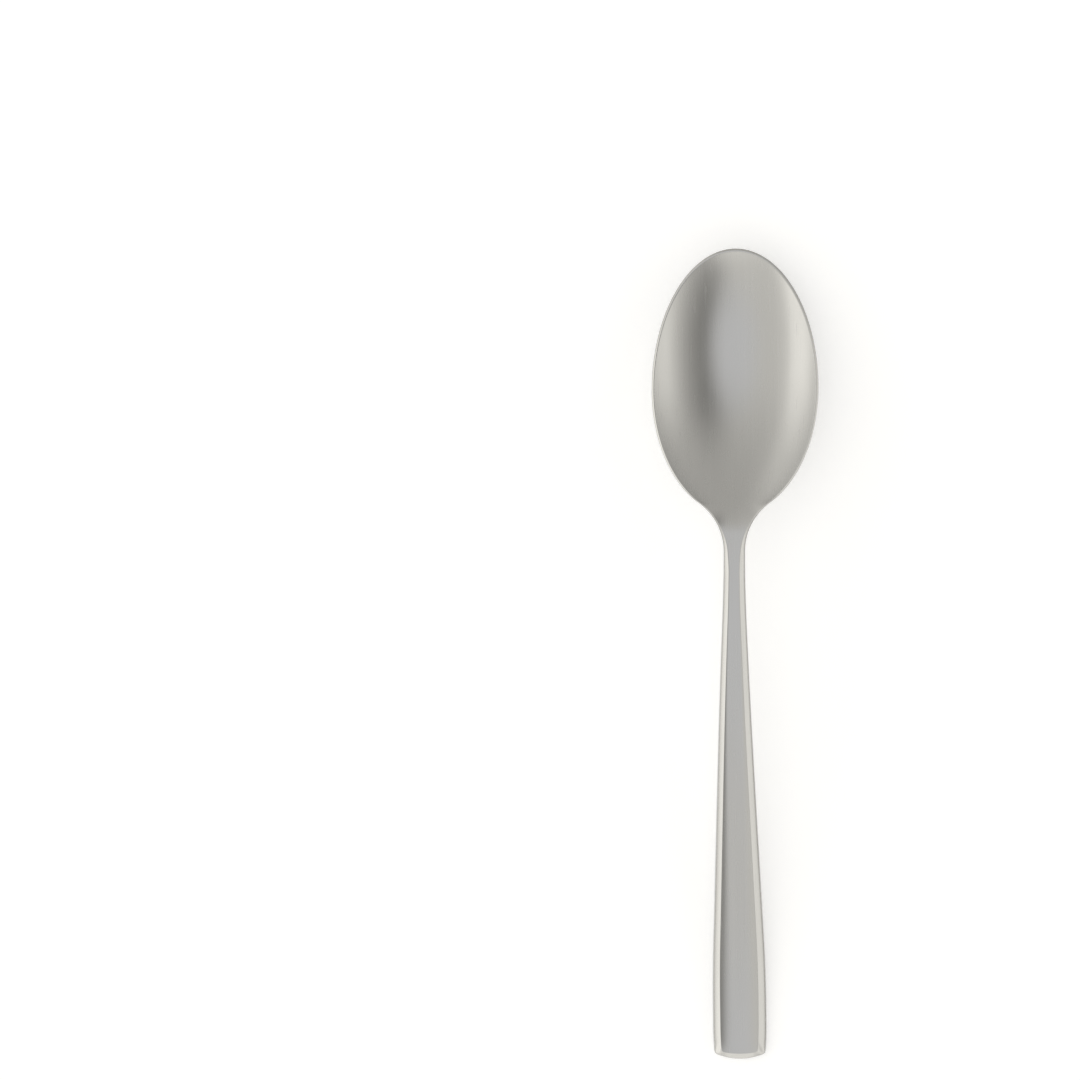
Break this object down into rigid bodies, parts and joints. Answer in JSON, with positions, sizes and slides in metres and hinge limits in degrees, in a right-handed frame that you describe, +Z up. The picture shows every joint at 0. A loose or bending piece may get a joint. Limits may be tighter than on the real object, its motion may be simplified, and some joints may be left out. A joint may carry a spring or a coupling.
{
  "type": "dessert spoon",
  "caption": "Stainless steel dessert spoon with an oval bowl, a slim neck and a tapering handle whose face is a shallow channel between raised rims.",
  "frame": {"origin": "on the table under the middle of the spoon's length and width, as it lies at rest", "axes": "+Y along the spoon from the handle's end to the bowl's tip, +Z up from the table, +X across the bowl"},
  "size_m": [0.038, 0.185, 0.0156],
  "materials": {
    "stainless_steel": "satin on the channel and the inside of the bowl, brighter on the rims and the lip"
  },
  "bodies": {
    "root": {"bowl": "stainless_steel", "neck": "stainless_steel", "handle": "stainless_steel"}
  },
  "joints": []
}
